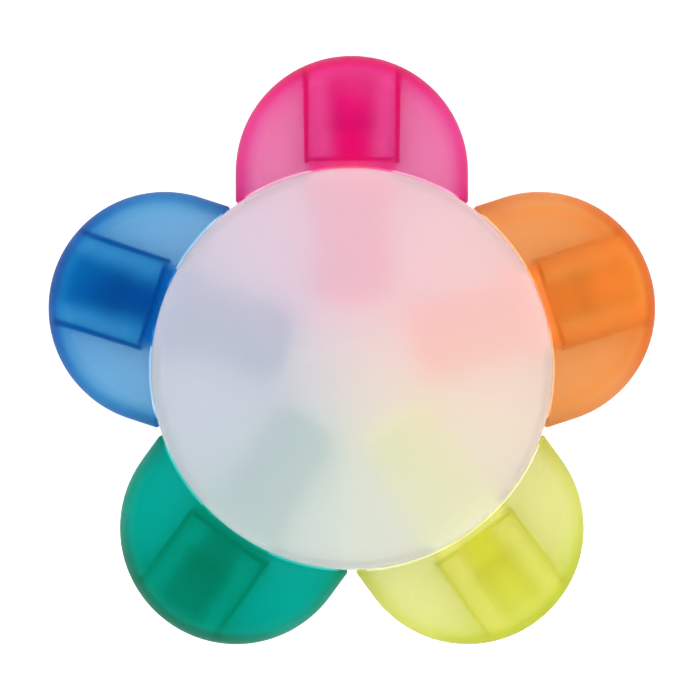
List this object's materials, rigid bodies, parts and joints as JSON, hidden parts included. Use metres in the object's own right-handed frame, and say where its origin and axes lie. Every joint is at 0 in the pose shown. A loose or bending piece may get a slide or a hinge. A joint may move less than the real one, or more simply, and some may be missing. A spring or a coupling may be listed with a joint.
{
  "type": "flower-shaped multi-colour highlighter",
  "caption": "Flat flower-shaped highlighter: a round frosted hub holds chisel-tip markers like spokes, each under a translucent petal cap that pulls straight off.",
  "frame": {"origin": "centre of the rear shell's flat outer face, on the hub's axis, at the surface the highlighter lies on", "axes": "+Z out of the front shell, along the hub's axis; +Y along the pink marker towards its tip; +X to the right, between the orange and yellow markers"},
  "size_m": [0.0904, 0.0876, 0.016],
  "materials": {
    "frosted_shell": "frosted translucent polypropylene, very light sand texture",
    "cap_plastic_pink": "translucent pink polypropylene, satin outside",
    "barrel_plastic_pink": "deep pink polypropylene, satin",
    "felt_pink": "bonded fibre soaked with pink ink",
    "filler_fibre_pink": "polyester fibre bundle full of pink ink",
    "cap_plastic_orange": "translucent orange polypropylene, satin outside",
    "barrel_plastic_orange": "deep orange polypropylene, satin",
    "felt_orange": "bonded fibre soaked with orange ink",
    "filler_fibre_orange": "polyester fibre bundle full of orange ink",
    "cap_plastic_yellow": "translucent yellow polypropylene, satin outside",
    "barrel_plastic_yellow": "deep yellow polypropylene, satin",
    "felt_yellow": "bonded fibre soaked with yellow ink",
    "filler_fibre_yellow": "polyester fibre bundle full of yellow ink",
    "cap_plastic_green": "translucent green polypropylene, satin outside",
    "barrel_plastic_green": "deep green polypropylene, satin",
    "felt_green": "bonded fibre soaked with green ink",
    "filler_fibre_green": "polyester fibre bundle full of green ink",
    "cap_plastic_blue": "translucent blue polypropylene, satin outside",
    "barrel_plastic_blue": "deep blue polypropylene, satin",
    "felt_blue": "bonded fibre soaked with blue ink",
    "filler_fibre_blue": "polyester fibre bundle full of blue ink",
    "clear_film": "thin clear film, glossy"
  },
  "bodies": {
    "hub": {"front_shell": "frosted_shell", "rear_shell": "frosted_shell", "barrel_pink": "barrel_plastic_pink", "nib_holder_pink": "barrel_plastic_pink", "nib_pink": "felt_pink", "ink_filler_pink": "filler_fibre_pink", "filler_film_pink": "clear_film", "barrel_orange": "barrel_plastic_orange", "nib_holder_orange": "barrel_plastic_orange", "nib_orange": "felt_orange", "ink_filler_orange": "filler_fibre_orange", "filler_film_orange": "clear_film", "barrel_yellow": "barrel_plastic_yellow", "nib_holder_yellow": "barrel_plastic_yellow", "nib_yellow": "felt_yellow", "ink_filler_yellow": "filler_fibre_yellow", "filler_film_yellow": "clear_film", "barrel_green": "barrel_plastic_green", "nib_holder_green": "barrel_plastic_green", "nib_green": "felt_green", "ink_filler_green": "filler_fibre_green", "filler_film_green": "clear_film", "barrel_blue": "barrel_plastic_blue", "nib_holder_blue": "barrel_plastic_blue", "nib_blue": "felt_blue", "ink_filler_blue": "filler_fibre_blue", "filler_film_blue": "clear_film"},
    "cap_pink": {"cap_pink": "cap_plastic_pink"},
    "cap_orange": {"cap_orange": "cap_plastic_orange"},
    "cap_yellow": {"cap_yellow": "cap_plastic_yellow"},
    "cap_green": {"cap_green": "cap_plastic_green"},
    "cap_blue": {"cap_blue": "cap_plastic_blue"}
  },
  "joints": [
    {"name": "cap_pink_pull", "type": "slide", "parent": "hub", "child": "cap_pink", "axis": [0, 1, 0], "range_m": [0, 0.022]},
    {"name": "cap_orange_pull", "type": "slide", "parent": "hub", "child": "cap_orange", "axis": [0.9511, 0.309, 0], "range_m": [0, 0.022]},
    {"name": "cap_yellow_pull", "type": "slide", "parent": "hub", "child": "cap_yellow", "axis": [0.5878, -0.809, 0], "range_m": [0, 0.022]},
    {"name": "cap_green_pull", "type": "slide", "parent": "hub", "child": "cap_green", "axis": [-0.5878, -0.809, 0], "range_m": [0, 0.022]},
    {"name": "cap_blue_pull", "type": "slide", "parent": "hub", "child": "cap_blue", "axis": [-0.9511, 0.309, 0], "range_m": [0, 0.022]}
  ]
}
